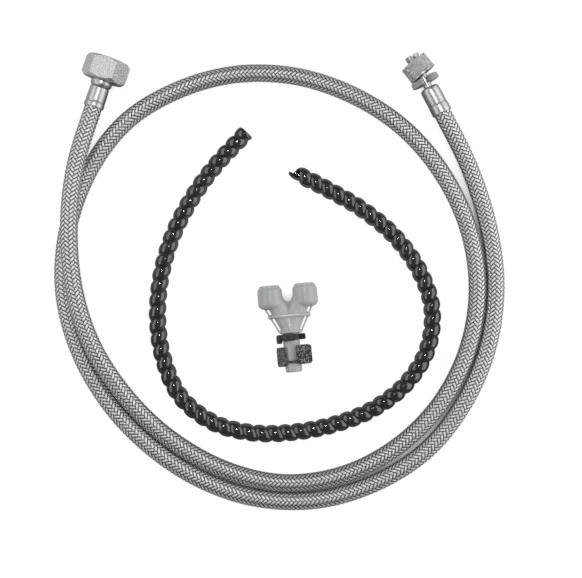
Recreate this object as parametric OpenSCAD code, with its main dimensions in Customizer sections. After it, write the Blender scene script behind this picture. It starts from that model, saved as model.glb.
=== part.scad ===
// Water-connection hose kit: a braided flexible hose with a hexagon union nut at one end and a
// knurled nut at the other, a loose spiral hose guard, and a Y-piece with its two clips.
// The kit lies on z = 0, with the hose coiled round the guard and the Y-piece. Units: mm.

/* [Hose] */
// Outer diameter of the braided hose
hose_d = 13.6; // [13.2:0.1:13.6]
// Thickness of the wire braid
braid_t = 0.6; // [0.4:0.1:0.8]
// Bore of the rubber liner
liner_bore_d = 10; // [9.8:0.1:10.4]

/* [Hexagon union nut] */
// Width across the flats
hex_af = 30; // [28:0.5:30]
// Length of the nut along its axis
hex_l = 17; // [16:0.5:20]
// Minor radius of its G 3/4 thread
hex_thread_r = 12.06; // [12.06]

/* [Knurled nut] */
// Outer diameter of the knurled nut
knurl_d = 22; // [21:0.5:22]
// Length of the knurled nut
knurl_l = 12.6; // [12:0.1:13]
// Lean of the loose nut on the thin stem, in degrees
knurl_tilt = 11; // [8:1:11]
// Minor radius of its G 3/8 thread
knurl_thread_r = 7.48; // [7.48]

/* [Spiral guard] */
// Outer diameter of the wound guard
guard_d = 13.4; // [12:0.1:13.4]
// Thickness of the wound strip
guard_t = 2.6; // [2:0.1:3]

/* [Y-piece] */
// Outer diameter of each socket
socket_d = 19; // [18:0.5:20]
// Bore radius of each socket
socket_bore_r = 6.4; // [6.4]
// Distance of each socket's axis from the middle
socket_x = 13.3; // [12.5:0.1:14]
// Radius of the stem
stem_r = 6.3; // [6.3]
// Outer radius of the round clip on the stem
clip_ring_r = 11; // [10:0.5:11]

/* [Hidden] */
$fn = 64;

hose_r = hose_d / 2;
liner_r = hose_r - braid_t - 0.05;
guard_r = guard_d / 2;
SIDES = 12;

// The hose's route, from inside the large ferrule, once round and under itself, to the small ferrule
HOSE_ROUTE = [
    [-135.5, 144.5, 15], [-140, 131, 15], [-153, 86, 19], [-157.5, 40.5, 21], [-154, -6, 19],
    [-140, -50, 16], [-114.5, -89.5, 10.5], [-81.5, -121, 7], [-41, -143.5, 7], [3.5, -153.5, 7],
    [49, -147, 7], [89.5, -126, 7], [122, -93.5, 7], [143, -52.5, 7], [150.5, -7, 7],
    [144, 38.5, 7], [124.5, 80.5, 7], [95.5, 115, 7], [58, 140, 7], [14.5, 155, 7],
    [-31.5, 157, 7], [-75.5, 145.5, 7], [-115, 122, 7], [-143.5, 85.5, 7], [-160, 42, 7],
    [-164, -4.5, 7], [-153.5, -49.5, 7], [-131, -90.5, 7], [-100, -124, 7], [-61.5, -150, 7],
    [-18, -165, 7], [28.5, -166.5, 7], [73, -153.5, 7], [112, -128.5, 7], [140.5, -92.5, 7],
    [158.5, -50, 7], [164.5, -4.5, 7], [159, 41, 7], [144.5, 85.5, 8.5], [123.5, 127, 11],
    [114, 144.5, 11]];
// The guard's route, from its plain end to its pointed end
GUARD_ROUTE = [
    [-24.8, 112.9, 6.8], [-49, 87, 6.8], [-67.5, 61, 6.8], [-81.5, 33, 6.8], [-90, 3, 6.8],
    [-92.5, -28.5, 6.8], [-88, -59.5, 6.8], [-75, -88, 6.8], [-50.5, -107.5, 6.8],
    [-20.5, -115.5, 6.8], [11, -115, 6.8], [42, -109, 6.8], [71, -97.5, 6.8], [96, -78.5, 6.8],
    [112.5, -52, 6.8], [116, -21, 6.8], [106, 8.5, 6.8], [87.5, 34, 6.8], [63.5, 54, 6.8],
    [36, 70, 6.8], [8, 84, 6.8]];

// Large end: lengths along its own axis from the mouth of the ferrule
large_end = HOSE_ROUTE[1];
large_turn = atan2(HOSE_ROUTE[0][1] - large_end[1], HOSE_ROUTE[0][0] - large_end[0]);
large_ferrule_l = 15.6;
collar_top = 20.9;
collar_r = 8.15;
hex_back = 21;
hex_wall = 3.5;
thread_start = 8.8;

// Small end: lengths along its own axis from the mouth of the ferrule
small_route_end = len(HOSE_ROUTE) - 1;
small_end = HOSE_ROUTE[small_route_end - 1];
small_turn = atan2(HOSE_ROUTE[small_route_end][1] - small_end[1],
    HOSE_ROUTE[small_route_end][0] - small_end[0]);
small_ferrule_l = 21.9;
thin_stem_r = 3.3;
clip_at = 25.3;
clip_l = 4.6;
knurl_mid = 38.6;
flange_at = 36.1;
seal_at = 37.6;
tip_wide_at = 46.2;
tip_end = 49.2;
tip_r = 5.4;

// Y-piece: its frame starts at the stem's free end, y runs up the stem and z away from the ground
y_place = [11.3, -69, 11.95];
y_turn = 5;
y_pitch = 2;
socket_foot = 48.8;
socket_top = 66.3;
socket_floor = 54;
arm_r = 7;
water_r = 4.5;
arm_meet = 33.7;
arm_top = 61.1;
ring_groove = [24, 29];
lock_groove = [6.9, 8.9];
lock_turn = 21;

// ---- curves ------------------------------------------------------------------------------------

// Catmull-Rom point between route points i and i + 1, with mirrored ghost points at the ends
function ghost(path, i) = i < 0 ? 2 * path[0] - path[1]
    : i >= len(path) ? 2 * path[len(path) - 1] - path[len(path) - 2] : path[i];
function curve(path, i, t) =
    let (a = ghost(path, i - 1), b = path[i], c = path[i + 1], d = ghost(path, i + 2))
    0.5 * (2 * b + (c - a) * t + (2 * a - 5 * b + 4 * c - d) * t * t
        + (3 * b - a - 3 * c + d) * t * t * t);
function smooth(path, steps) = [for (i = [0 : len(path) - 2], k = [0 : steps - 1])
    curve(path, i, k / steps), path[len(path) - 1]];
function unit(v) = v / norm(v);
function heading(path, i) =
    unit(path[min(i + 1, len(path) - 1)] - path[max(i - 1, 0)]);
function ring(path, i, r) =
    let (t = heading(path, i), side = unit(cross([0, 0, 1], t)), up = cross(t, side))
    [for (s = [0 : SIDES - 1]) path[i] + r * (cos(360 * s / SIDES) * side
        + sin(360 * s / SIDES) * up)];

// Points of an arc about (r, z), for a profile that is turned
function arc(r, z, radius, from, to, steps = 5) =
    [for (k = [0 : steps]) let (a = from + (to - from) * k / steps)
        [r + radius * cos(a), z + radius * sin(a)]];

// A hollow hose swept along a path: outer rings first, then inner rings, then the two end faces
module hose_tube(path, outer, inner) {
    n = len(path);
    rings = concat([for (i = [0 : n - 1]) each ring(path, i, outer)],
        [for (i = [0 : n - 1]) each ring(path, i, inner)]);
    in0 = n * SIDES;
    walls = [for (i = [0 : n - 2], s = [0 : SIDES - 1]) let (a = i * SIDES + s,
        b = i * SIDES + (s + 1) % SIDES) each [
        [a, b, b + SIDES, a + SIDES],
        [in0 + a, in0 + a + SIDES, in0 + b + SIDES, in0 + b]]];
    last = (n - 1) * SIDES;
    ends = [for (s = [0 : SIDES - 1]) let (q = (s + 1) % SIDES) each [
        [s, in0 + s, in0 + q, q],
        [last + s, last + q, in0 + last + q, in0 + last + s]]];
    polyhedron(points = rings, faces = concat(walls, ends), convexity = 10);
}

module turned(profile) {
    rotate_extrude() polygon(profile);
}

// ---- frames ------------------------------------------------------------------------------------

module at_large_end() {
    translate(large_end) rotate([0, 90, large_turn]) children();
}

module at_small_end() {
    translate(small_end) rotate([0, 90, small_turn]) children();
}

module at_knurled_nut() {
    at_small_end() translate([0, 0, knurl_mid]) rotate([-knurl_tilt, 0, 0]) children();
}

module at_y_piece() {
    translate(y_place) rotate([0, 0, y_turn]) rotate([-y_pitch, 0, 0]) children();
}

// Turns a profile's axis from z to the Y-piece's y, at a distance x from the stem's axis
module along_y(x = 0) {
    translate([x, 0, 0]) rotate([-90, 0, 0]) children();
}

// ---- hose --------------------------------------------------------------------------------------

module hose_braid() {
    color([0.66, 0.66, 0.67]) hose_tube(smooth(HOSE_ROUTE, 2), hose_r, liner_r + 0.05);
}

module hose_liner() {
    color([0.12, 0.12, 0.12]) hose_tube(smooth(HOSE_ROUTE, 2), liner_r, liner_bore_d / 2);
}

// Crimped sleeve: a rolled foot ring, a groove, a slightly conical skirt and a turned-in lip
module large_ferrule() {
    bore = hose_r + 0.1;
    color([0.72, 0.72, 0.72]) at_large_end() turned(concat(
        [[bore, 0], [7.55, 0]], arc(7.45, 0.35, 0.35, -60, 60, 3),
        [[7.7, 3.2], [7.25, 3.5], [7.25, 4.1], [7.55, 4.5], [7.3, 14.4]],
        arc(6.5, 14.8, 0.8, 15, 90), [[5.6, large_ferrule_l], [5.6, 14.9], [bore, 14.9]]));
}

// Turned brass insert: barbed spigot in the hose, rounded collar, neck and sealing flange
module large_tail() {
    barbs = [for (k = [0 : 3]) each [[4.4, 1 + 3 * k], [4.78, 3.4 + 3 * k]]];
    color([0.74, 0.73, 0.7]) at_large_end() turned(concat(
        [[3.6, 0.6], [4.2, 0.6]], barbs, [[4.4, 13], [4.4, 14.35], [5.5, 14.35], [5.5, 15.65]],
        arc(collar_r - 2.2, 17.85, 2.2, -90, 0), arc(collar_r - 0.8, 20.1, 0.8, 0, 40, 3),
        [[collar_r - 0.1, collar_top], [collar_r - 0.1, hex_back + hex_wall + 0.1],
        [11.6, hex_back + hex_wall + 0.1], [11.6, hex_back + 6.1], [3.6, hex_back + 6.1]]));
}

// Hexagon nut with both ends chamfered, a rear wall behind the flange and a threaded mouth
module large_nut() {
    corner = hex_af / 2 / cos(30);
    face_r = hex_af / 2 - 0.6;
    slope = 2.3;
    color([0.75, 0.75, 0.75]) at_large_end() translate([0, 0, hex_back]) difference() {
        intersection() {
            rotate([0, 0, 30]) cylinder(r = corner, h = hex_l, $fn = 6);
            turned([[0, 0], [face_r, 0], [corner, slope], [corner, hex_l - slope],
                [face_r, hex_l], [0, hex_l]]);
        }
        turned([[0, -1], [collar_r + 0.3, -1], [collar_r + 0.3, hex_wall], [12.6, hex_wall],
            [12.6, thread_start], [hex_thread_r, thread_start], [hex_thread_r, hex_l - 0.8],
            [hex_thread_r + 0.8, hex_l], [hex_thread_r + 0.8, hex_l + 1], [0, hex_l + 1]]);
    }
}

module nut_washer() {
    start = hex_back + 6.1;
    color([0.1, 0.1, 0.1]) at_large_end()
        turned([[7.3, start], [11.8, start], [11.8, start + 2.4], [7.3, start + 2.4]]);
}

// Two-step crimped sleeve with a rounded shoulder round the thin stem
module small_ferrule() {
    bore = hose_r + 0.1;
    color([0.72, 0.72, 0.72]) at_small_end() turned(concat(
        [[bore, 0], [7.75, 0], [7.75, 0.8], [7.5, 7], [7.15, 7.2], [7.15, 7.7], [7.4, 7.9],
        [7.35, 19.6]], arc(5.15, 19.7, 2.2, 0, 80),
        [[thin_stem_r + 0.1, small_ferrule_l], [thin_stem_r + 0.1, 20.4], [bore, 20.4]]));
}

// Turned insert: barbed spigot, thin stem, flange inside the knurled nut and slotted tip
module small_tail() {
    barbs = [for (k = [0 : 5]) each [[4.4, 1 + 3 * k], [4.78, 3.4 + 3 * k]]];
    slot_w = 1.6;
    slot_floor = 42;
    color([0.74, 0.73, 0.7]) at_small_end() difference() {
        turned(concat([[2.2, 0.6], [4.2, 0.6]], barbs, [[4.4, 19], [4.4, 20.2],
            [thin_stem_r, 20.2], [thin_stem_r, flange_at], [6.6, flange_at], [6.6, seal_at],
            [5.1, seal_at], [5.1, tip_wide_at - 0.3], [tip_r, tip_wide_at],
            [tip_r, tip_end - 0.3], [tip_r - 0.3, tip_end], [3.6, tip_end],
            [3.6, 40.5], [2.2, 40.5]]));
        translate([-8, -slot_w / 2, slot_floor]) cube([16, slot_w, 10]);
    }
}

// Round nut, drawn from its middle: wide rear hole, relief behind the thread, threaded mouth
module knurled_nut() {
    half = knurl_l / 2;
    r = knurl_d / 2;
    color([0.68, 0.68, 0.68]) at_knurled_nut() turned([
        [5.1, -half], [r - 0.6, -half], [r, -half + 0.6], [r, half - 0.6], [r - 0.6, half],
        [knurl_thread_r + 0.6, half], [knurl_thread_r, half - 0.6], [knurl_thread_r, -1],
        [8.2, -1], [8.2, -half + 2.2], [5.1, -half + 2.2]]);
}

module tip_seal() {
    color([0.1, 0.1, 0.1]) at_small_end()
        turned([[5.15, seal_at], [6.7, seal_at], [6.7, seal_at + 1.6], [5.15, seal_at + 1.6]]);
}

// Open ring that snaps over the thin stem, with its gap towards the top
module stem_clip_ring() {
    r = 11;
    gap = 5.5;
    color([0.6, 0.6, 0.6]) at_small_end() translate([0, 0, clip_at]) difference() {
        turned([[4, 0], [r - 0.5, 0], [r, 0.5], [r, clip_l - 0.5], [r - 0.5, clip_l],
            [4, clip_l]]);
        translate([-r - 1, -gap / 2, -1]) cube([r + 1, gap, clip_l + 2]);
    }
}

// ---- spiral guard ------------------------------------------------------------------------------

module spiral_guard() {
    color([0.07, 0.07, 0.07]) hose_tube(smooth(GUARD_ROUTE, 2), guard_r, guard_r - guard_t);
}

// ---- Y-piece -----------------------------------------------------------------------------------

// Socket: round-bottomed bulb that narrows a little to its domed rim
module socket_shell(x) {
    r = socket_d / 2;
    foot_r = 4.4;
    rim_r = 4.6;
    along_y(x) turned(concat([[0, socket_foot]],
        arc(r - foot_r, socket_foot + foot_r, foot_r, -90, 0, 8),
        arc(r - 0.2 - rim_r, socket_top - rim_r, rim_r, 0, 80, 7), [[0, socket_top]]));
}

// Socket bore with its seal groove and the recess that holds the grip ring and the cap
module socket_hollow(x) {
    along_y(x) turned([[0, socket_floor], [socket_bore_r, socket_floor], [socket_bore_r, 57],
        [8, 57], [8, 59.2], [socket_bore_r, 59.2], [socket_bore_r, 61.6], [7.9, 61.6],
        [7.9, socket_top + 1], [0, socket_top + 1]]);
}

// A straight leg from where the two arms meet to the inside of a socket
module arm(side, r, from) {
    lean = atan2(socket_x, arm_top - arm_meet);
    translate([0, arm_meet, 0]) rotate([-90, 0, 0]) rotate([0, side * lean, 0])
        translate([0, 0, from]) cylinder(r = r, h = 24.5 - from);
}

// Thin outer rib from a socket's foot to the collar, with its rounded heads
module strut(side) {
    foot = [8.2, 30.6];
    head = [18.2, 49.4];
    t = 1.4;
    mirror([side < 0 ? 1 : 0, 0, 0]) {
        linear_extrude(3, center = true)
            polygon([[foot[0] - t + 0.9, foot[1]], [foot[0] + 0.9, foot[1]],
                [head[0] + 0.45, head[1]], [head[0] + 0.45 - t, head[1]]]);
        translate([17, 50.4, 0]) sphere(r = 2.2);
        translate([14.4, 42.7, 0]) sphere(r = 1.9);
    }
}

module y_body() {
    color([0.68, 0.68, 0.67]) at_y_piece() difference() {
        union() {
            for (side = [-1, 1]) {
                socket_shell(side * socket_x);
                arm(side, arm_r, 0);
                strut(side);
            }
            // web between the arms, and the band across both arms
            linear_extrude(2.4, center = true)
                polygon([[-7, 38], [7, 38], [9, 54], [-9, 54]]);
            along_y() translate([0, 0, 41.5]) linear_extrude(2.4) {
                square([13.6, 15.6], center = true);
                for (side = [-1, 1]) translate([side * 6.8, 0]) circle(r = 7.8);
            }
            // stem with its collar, the two clip grooves and the rounded free end
            along_y() turned(concat([[0, 0]], arc(stem_r - 1.4, 1.4, 1.4, -90, 0),
                [[stem_r, lock_groove[0]], [5.5, lock_groove[0]], [5.5, lock_groove[1]],
                [stem_r - 0.2, lock_groove[1]], [stem_r - 0.2, 12.6], [stem_r, 12.9],
                [stem_r, ring_groove[0]], [5.8, ring_groove[0]], [5.8, ring_groove[1]],
                [8.3, 29.6], [8.3, 31.4], [7.4, 32], [7.4, arm_meet + 1], [0, arm_meet + 1]]));
        }
        along_y() translate([0, 0, -1]) cylinder(r = water_r, h = arm_meet + 1);
        along_y() translate([0, 0, arm_meet]) sphere(r = water_r);
        for (side = [-1, 1]) {
            arm(side, water_r, 0);
            socket_hollow(side * socket_x);
        }
    }
}

module socket_cap(x) {
    color([0.7, 0.7, 0.69]) at_y_piece() along_y(x) turned(concat(
        [[socket_bore_r, 62.5], [7.85, 62.5]], arc(6.05, 64.8, 1.8, 0, 70, 6),
        [[socket_bore_r, 66.3]]));
}

// Steel grip ring with eight slots cut into its inner edge
module grip_ring(x) {
    color([0.75, 0.75, 0.76]) at_y_piece() along_y(x) difference() {
        turned([[6.5, 61.75], [7.8, 61.75], [7.8, 62.35], [6.5, 62.35]]);
        for (k = [0 : 7]) rotate([0, 0, 45 * k]) translate([6, -0.5, 61]) cube([1.1, 1, 2]);
    }
}

module o_ring(x) {
    color([0.1, 0.1, 0.1]) at_y_piece() along_y(x) translate([0, 0, 58.1])
        rotate_extrude() translate([7.15, 0]) circle(r = 0.82);
}

// Open snap ring in the stem's upper groove, with a finger tab on its left
module y_clip_ring() {
    gap = 7;
    gap_turn = 50;
    l = 4.6;
    tab_l = 6.4;
    color([0.2, 0.2, 0.2]) at_y_piece() {
        along_y() translate([0, 0, ring_groove[0] + 0.2]) difference() {
            turned([[6.1, 0], [clip_ring_r - 0.9, 0], [clip_ring_r - 0.2, 0.3],
                [clip_ring_r, 1], [clip_ring_r, l - 1], [clip_ring_r - 0.2, l - 0.3],
                [clip_ring_r - 0.9, l], [6.1, l]]);
            rotate([0, 0, gap_turn - 90]) translate([0, -gap / 2, -1]) cube([13, gap, l + 2]);
        }
        translate([-9, ring_groove[1] - 0.6 - tab_l / 2, 0]) {
            cube([4.4, tab_l - 2.6, 7], center = true);
            cube([1.8, tab_l, 7], center = true);
            for (u = [-1, 1], v = [-1, 1]) translate([0.9 * u, v * (tab_l / 2 - 1.3), 0])
                cylinder(r = 1.3, h = 7, center = true);
        }
    }
}

// A thumb pad: a rounded plate that stands off the stem, facing the given way round it
module thumb_pad(facing, shift, along) {
    pad = [11.5, 14.6, 2.8];
    corner = 2.4;
    rotate([0, facing, 0]) translate([shift, along, 7.2]) linear_extrude(pad[2]) difference() {
        square([pad[0], pad[1]], center = true);
        for (u = [-1, 1], v = [-1, 1]) translate([u * pad[0] / 2, v * pad[1] / 2])
            difference() {
                square(2 * corner, center = true);
                translate([-u * corner, -v * corner]) circle(r = corner);
            }
    }
}

// U-shaped locking clip: a bar round the front of the lower groove, two legs and two thumb pads
module y_lock_clip() {
    inner = 5.7;
    outer = 7.5;
    leg = 5.5;
    color([0.16, 0.16, 0.16]) at_y_piece() {
        rotate([0, -lock_turn, 0]) translate([0, lock_groove[0] + 0.1, 0]) rotate([-90, 0, 0])
            linear_extrude(1.8) difference() {
                union() {
                    circle(r = outer);
                    translate([-outer, 0]) square([2 * outer, leg]);
                }
                circle(r = inner);
                translate([-inner, 0]) square([2 * inner, outer + 1]);
            }
        thumb_pad(13, 6.9, 13);
        thumb_pad(-68, -1.4, 12);
    }
}

hose_braid();
hose_liner();
large_ferrule();
large_tail();
large_nut();
nut_washer();
small_ferrule();
small_tail();
knurled_nut();
tip_seal();
stem_clip_ring();
spiral_guard();
y_body();
socket_cap(-socket_x);  // socket_cap_left
socket_cap(socket_x);  // socket_cap_right
grip_ring(-socket_x);  // grip_ring_left
grip_ring(socket_x);  // grip_ring_right
o_ring(-socket_x);  // o_ring_left
o_ring(socket_x);  // o_ring_right
y_clip_ring();
y_lock_clip();
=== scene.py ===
"""Water-connection hose kit: the looks of a braided hose, a spiral guard and a Y-piece.

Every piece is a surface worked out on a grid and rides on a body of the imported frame.
Lengths in the tables are millimetres, and MM turns them into Blender's metres.
"""

import math

import bpy
import numpy as np
from mathutils import Matrix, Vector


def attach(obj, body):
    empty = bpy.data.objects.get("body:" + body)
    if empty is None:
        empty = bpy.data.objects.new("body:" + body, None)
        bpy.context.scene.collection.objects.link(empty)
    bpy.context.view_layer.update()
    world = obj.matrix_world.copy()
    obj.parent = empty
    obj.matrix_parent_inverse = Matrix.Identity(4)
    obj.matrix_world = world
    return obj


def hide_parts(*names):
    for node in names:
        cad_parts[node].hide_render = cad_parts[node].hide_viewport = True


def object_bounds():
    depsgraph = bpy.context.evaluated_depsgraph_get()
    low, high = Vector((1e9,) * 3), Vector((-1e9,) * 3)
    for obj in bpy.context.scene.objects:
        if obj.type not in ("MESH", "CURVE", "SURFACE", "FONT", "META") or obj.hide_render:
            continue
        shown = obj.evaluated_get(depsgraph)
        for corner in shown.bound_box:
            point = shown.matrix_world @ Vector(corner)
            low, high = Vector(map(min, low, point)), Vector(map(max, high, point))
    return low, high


bl_info = {
    "name": "Water Connection Hose Kit",
    "version": (1, 0, 0),
    "blender": (4, 5, 0),
    "location": "View3D > Sidebar > Hose Kit",
    "description": "Builds a braided hose, a spiral hose guard and a Y-piece with their clips",
    "category": "Add Mesh",
}

MM = 0.001
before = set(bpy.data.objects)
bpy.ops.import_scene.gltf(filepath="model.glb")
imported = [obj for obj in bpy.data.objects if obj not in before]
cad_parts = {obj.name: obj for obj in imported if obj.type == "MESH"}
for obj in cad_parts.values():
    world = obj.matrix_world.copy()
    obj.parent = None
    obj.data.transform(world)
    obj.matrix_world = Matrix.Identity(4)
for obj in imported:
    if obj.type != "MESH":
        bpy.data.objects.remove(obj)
CAD_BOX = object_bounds()
# Height of the hose's axis where it lies on the surface
HOSE_AXIS = 6.8 * MM

# The hose's route, from inside the large ferrule to inside the small one
HOSE_ROUTE = MM * np.array([
    (-135.5, 144.5, 15), (-140, 131, 15), (-153, 86, 19), (-157.5, 40.5, 21), (-154, -6, 19),
    (-140, -50, 16), (-114.5, -89.5, 10.5), (-81.5, -121, 7), (-41, -143.5, 7),
    (3.5, -153.5, 7), (49, -147, 7), (89.5, -126, 7), (122, -93.5, 7), (143, -52.5, 7),
    (150.5, -7, 7), (144, 38.5, 7), (124.5, 80.5, 7), (95.5, 115, 7), (58, 140, 7),
    (14.5, 155, 7), (-31.5, 157, 7), (-75.5, 145.5, 7), (-115, 122, 7), (-143.5, 85.5, 7),
    (-160, 42, 7), (-164, -4.5, 7), (-153.5, -49.5, 7), (-131, -90.5, 7), (-100, -124, 7),
    (-61.5, -150, 7), (-18, -165, 7), (28.5, -166.5, 7), (73, -153.5, 7), (112, -128.5, 7),
    (140.5, -92.5, 7), (158.5, -50, 7), (164.5, -4.5, 7), (159, 41, 7), (144.5, 85.5, 8.5),
    (123.5, 127, 11), (114, 144.5, 11)])
# The guard's route, from its plain end to its pointed end
GUARD_ROUTE = MM * np.array([
    (-24.8, 112.9, 6.8), (-49, 87, 6.8), (-67.5, 61, 6.8), (-81.5, 33, 6.8), (-90, 3, 6.8),
    (-92.5, -28.5, 6.8), (-88, -59.5, 6.8), (-75, -88, 6.8), (-50.5, -107.5, 6.8),
    (-20.5, -115.5, 6.8), (11, -115, 6.8), (42, -109, 6.8), (71, -97.5, 6.8),
    (96, -78.5, 6.8), (112.5, -52, 6.8), (116, -21, 6.8), (106, 8.5, 6.8), (87.5, 34, 6.8),
    (63.5, 54, 6.8), (36, 70, 6.8), (8, 84, 6.8)])


# ---- settings ----------------------------------------------------------------------------------

def length(name, value, text):
    """A length setting in metres, given in millimetres."""
    return bpy.props.FloatProperty(name=name, default=value * MM, description=text,
                                   unit="LENGTH", precision=5)


def colour(name, value, text):
    """A colour setting in linear red, green and blue."""
    return bpy.props.FloatVectorProperty(name=name, default=value, description=text,
                                         subtype="COLOR", size=3, min=0.0, max=1.0)


class BraidSettings(bpy.types.PropertyGroup):
    hose_length: length("Hose length", 1793, "Length of the hose along its middle")
    outer_radius: length("Outer radius", 6.8, "Radius over the crowns of the wire bands")
    liner_radius: length("Liner radius", 6.2, "Outer radius of the rubber liner")
    liner_bore: length("Liner bore", 5.0, "Inner radius of the rubber liner")
    pitch: length("Pitch", 3.27, "Distance along the hose from one wire band to the next")
    carriers: bpy.props.IntProperty(name="Carriers", default=12, min=4, max=24,
                                    description="Wire bands that run each way round the hose")
    wires: bpy.props.IntProperty(name="Wires", default=6, min=2, max=12,
                                 description="Wires that lie side by side in each band")
    steel: colour("Steel", (0.94, 0.94, 0.94), "Colour of the braid wire")


class GuardSettings(bpy.types.PropertyGroup):
    guard_length: length("Guard length", 633, "Length of the guard along its middle")
    outer_radius: length("Outer radius", 6.7, "Radius over the beads of the wound strip")
    inner_radius: length("Inner radius", 4.1, "Radius of the guard's bore")
    groove_radius: length("Groove radius", 4.95, "Radius at the groove between two turns")
    turns: bpy.props.FloatProperty(name="Turns", default=65.5, min=4.0, max=120.0,
                                   description="Turns of the wound strip")
    slack: length("Slack", 8.6, "How much the turns are drawn apart along the first bend")
    plastic: colour("Plastic", (0.03, 0.03, 0.03), "Colour of the guard's plastic")


class FittingSettings(bpy.types.PropertyGroup):
    across_flats: length("Across flats", 30, "Width of the hexagon nut across its flats")
    nut_length: length("Nut length", 17, "Length of the hexagon nut")
    knurl_radius: length("Knurl radius", 11, "Outer radius of the knurled nut")
    knurl_length: length("Knurl length", 12.6, "Length of the knurled nut")
    knurl_count: bpy.props.IntProperty(name="Knurls", default=60, min=12, max=96,
                                       description="Diamonds round the knurled nut")
    plate: colour("Plate", (0.6, 0.6, 0.595), "Colour of the nickel plate")


class YPieceSettings(bpy.types.PropertyGroup):
    voxel: length("Voxel", 0.4, "Cell size with which the moulded body's edges are softened")
    body: colour("Body", (0.59, 0.59, 0.586), "Colour of the cloudy body")
    clip: colour("Clip", (0.026, 0.026, 0.026), "Colour of the two clips")
    speck: colour("Speck", (0.5, 0.5, 0.5), "Colour of the specks on the locking clip")


class StageSettings(bpy.types.PropertyGroup):
    camera_height: length("Camera height", 1000, "Height of the camera above the surface")
    view_width: length("View width", 442.3, "Width that the camera takes in at the hose")
    camera_x: length("Camera x", 8.9, "Place of the camera over the kit, across")
    camera_y: length("Camera y", -6.2, "Place of the camera over the kit, along")


# ---- curves and grids --------------------------------------------------------------------------

def unit(vectors):
    """Vectors of length one, in the directions of the given ones."""
    return vectors / np.linalg.norm(vectors, axis=-1, keepdims=True)


def smooth_route(points, steps):
    """Catmull-Rom curve: a cubic through each pair of points whose slope at a point is half the
    step from the point before to the point after, with mirrored ghost points past both ends."""
    ghost = np.vstack([2 * points[0] - points[1], points, 2 * points[-1] - points[-2]])
    a, b, c, d = (ghost[k:len(ghost) - 3 + k, None, :] for k in range(4))
    t = (np.arange(steps) / steps)[None, :, None]
    spans = 0.5 * (2 * b + (c - a) * t + (2 * a - 5 * b + 4 * c - d) * t ** 2
                   + (3 * b - a - 3 * c + d) * t ** 3)
    return np.vstack([spans.reshape(-1, 3), points[-1:]])


def smooth_step(value):
    """A step that rises from 0 to 1 as the value does, level at both ends."""
    value = np.clip(value, 0, 1)
    return value ** 2 * (3 - 2 * value)


def run_along(curve):
    """Distance from a curve's start to each of its points."""
    return np.concatenate([[0], np.cumsum(np.linalg.norm(np.diff(curve, axis=0), axis=1))])


def frames_along(curve, distance):
    """Middle, side and up at distances along a curve: side is level and to the left of travel,
    and up is square to side and travel. Past an end the curve goes on straight."""
    reach = 0.05
    curve = np.vstack([curve[0] + reach * unit(curve[0] - curve[1]), curve,
                       curve[-1] + reach * unit(curve[-1] - curve[-2])])
    run = run_along(curve) - reach
    travel = np.gradient(curve, run, axis=0)

    def at(values):
        return np.stack([np.interp(distance, run, values[:, k]) for k in range(3)], axis=-1)

    travel_at = unit(at(travel))
    side = unit(np.cross([0.0, 0.0, 1.0], travel_at))
    return at(curve), side, np.cross(travel_at, side)


def wound_points(curve, distance, angle, radius):
    """Points at a distance along a curve, an angle round it from side to up, and a radius."""
    middle, side, up = frames_along(curve, distance)
    turn = np.asarray(angle)[..., None]
    return middle + np.asarray(radius)[..., None] * (np.cos(turn) * side + np.sin(turn) * up)


def new_piece(name, points, faces, material, smooth=True):
    """A mesh object at the origin from an array of points and a list of arrays of faces, one
    array for each number of corners."""
    corners = np.concatenate([f.ravel() for f in faces])
    counts = np.concatenate([np.full(len(f), f.shape[1]) for f in faces])
    mesh = bpy.data.meshes.new(name)
    mesh.vertices.add(len(points))
    mesh.vertices.foreach_set("co", np.ascontiguousarray(points, dtype=np.float32).ravel())
    mesh.loops.add(len(corners))
    mesh.loops.foreach_set("vertex_index", corners.astype(np.int32))
    mesh.polygons.add(len(counts))
    mesh.polygons.foreach_set("loop_start", (np.cumsum(counts) - counts).astype(np.int32))
    mesh.update(calc_edges=True)
    mesh.validate()
    mesh.polygons.foreach_set("use_smooth", np.full(len(mesh.polygons), smooth))
    mesh.materials.append(material)
    piece = bpy.data.objects.new(name, mesh)
    bpy.context.scene.collection.objects.link(piece)
    return piece


def loop_faces(rows, columns, join_rows=True):
    """Four-cornered faces of a grid whose columns close into a ring, and whose rows may too."""
    i = np.arange(rows if join_rows else rows - 1)[:, None]
    j = np.arange(columns)[None, :]
    below, above = i * columns, (i + 1) % rows * columns
    beside = (j + 1) % columns
    return np.stack([below + j, below + beside, above + beside, above + j],
                    axis=-1).reshape(-1, 4)


def capped_faces(rows, columns):
    """Faces of a grid whose columns close into a ring, with a cap on its first and last rows."""
    first = np.arange(columns)
    caps = np.stack([first[::-1], (rows - 1) * columns + first])
    return [loop_faces(rows, columns, join_rows=False), caps]


def soft_corners(profile, radius, steps=3):
    """A closed outline with each corner rounded by a quadratic curve that starts and ends a
    radius, or at most 45% of the side, away from it."""
    outline = np.array(profile, dtype=float)
    before, after = np.roll(outline, 1, axis=0), np.roll(outline, -1, axis=0)
    t = np.linspace(0, 1, steps + 1)[None, :, None]
    start, end = (outline + (n - outline) * np.minimum(
        0.45, radius / np.linalg.norm(n - outline, axis=1))[:, None] for n in (before, after))
    curve = ((1 - t) ** 2 * start[:, None] + 2 * t * (1 - t) * outline[:, None]
             + t ** 2 * end[:, None])
    return curve.reshape(-1, 2)


def placed(grid, place):
    """Local points moved to a place, which is its origin and its three axes as rows."""
    origin, axes = place
    return origin + grid @ axes


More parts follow.
